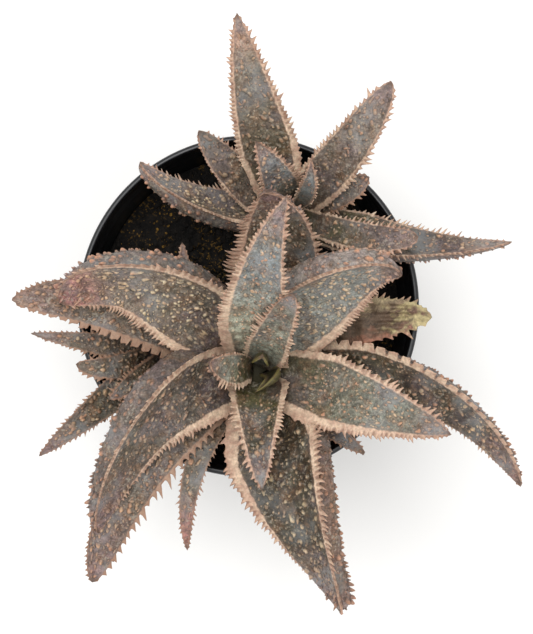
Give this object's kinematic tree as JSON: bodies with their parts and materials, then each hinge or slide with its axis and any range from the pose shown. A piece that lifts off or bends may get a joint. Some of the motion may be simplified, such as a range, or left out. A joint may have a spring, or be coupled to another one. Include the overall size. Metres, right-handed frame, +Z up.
{
  "type": "potted haworthia",
  "caption": "Clump-forming succulent with thick, tapering, toothed and warty leaves in rosettes, rooted in dark compost in a round black plastic nursery pot.",
  "frame": {"origin": "centre of the pot's base, on the ground", "axes": "+Z up along the pot's axis; seen from above, +Y points to the smaller upper rosette and +X to its right"},
  "size_m": [0.1533, 0.1758, 0.15],
  "materials": {
    "pot": "black moulded polypropylene, satin to semi-gloss",
    "soil": "dark damp peat compost with golden grit specks, matt",
    "stem": "pale brown-green stem skin, matt",
    "leaf": "waxy grey-brown to blue-grey skin with pale pink-tan toothed margins and cream to orange tubercles, satin",
    "withered_leaf": "drying leaf, olive-brown with a yellow-green end, satin"
  },
  "bodies": {
    "root": {"pot": "pot", "soil": "soil", "stem_main": "stem", "stem_upper": "stem", "stem_offset": "stem", "leaf_main_core": "leaf", "leaf_main_heart": "leaf", "leaf_main_inner_left": "leaf", "leaf_main_inner_right": "leaf", "leaf_main_front": "leaf", "leaf_main_back": "leaf", "leaf_main_right": "leaf", "leaf_main_upper_right": "leaf", "leaf_main_upper_left": "leaf", "leaf_main_lower_left": "leaf", "leaf_main_back_outer": "leaf", "leaf_main_far_right": "leaf", "leaf_main_bottom": "leaf", "leaf_main_low_left": "leaf", "leaf_main_left_low": "leaf", "leaf_main_withered": "withered_leaf", "leaf_main_low_narrow": "leaf", "leaf_main_low_stub": "leaf", "leaf_upper_inner_left": "leaf", "leaf_upper_inner_right": "leaf", "leaf_upper_back": "leaf", "leaf_upper_right_up": "leaf", "leaf_upper_right_blunt": "leaf", "leaf_upper_small_right": "leaf", "leaf_upper_left_small": "leaf", "leaf_upper_left": "leaf", "leaf_upper_far_right": "leaf", "leaf_offset_inner": "leaf", "leaf_offset_left_down": "leaf", "leaf_offset_left_short": "leaf", "leaf_offset_left_long": "leaf", "leaf_offset_back": "leaf"}
  },
  "joints": []
}
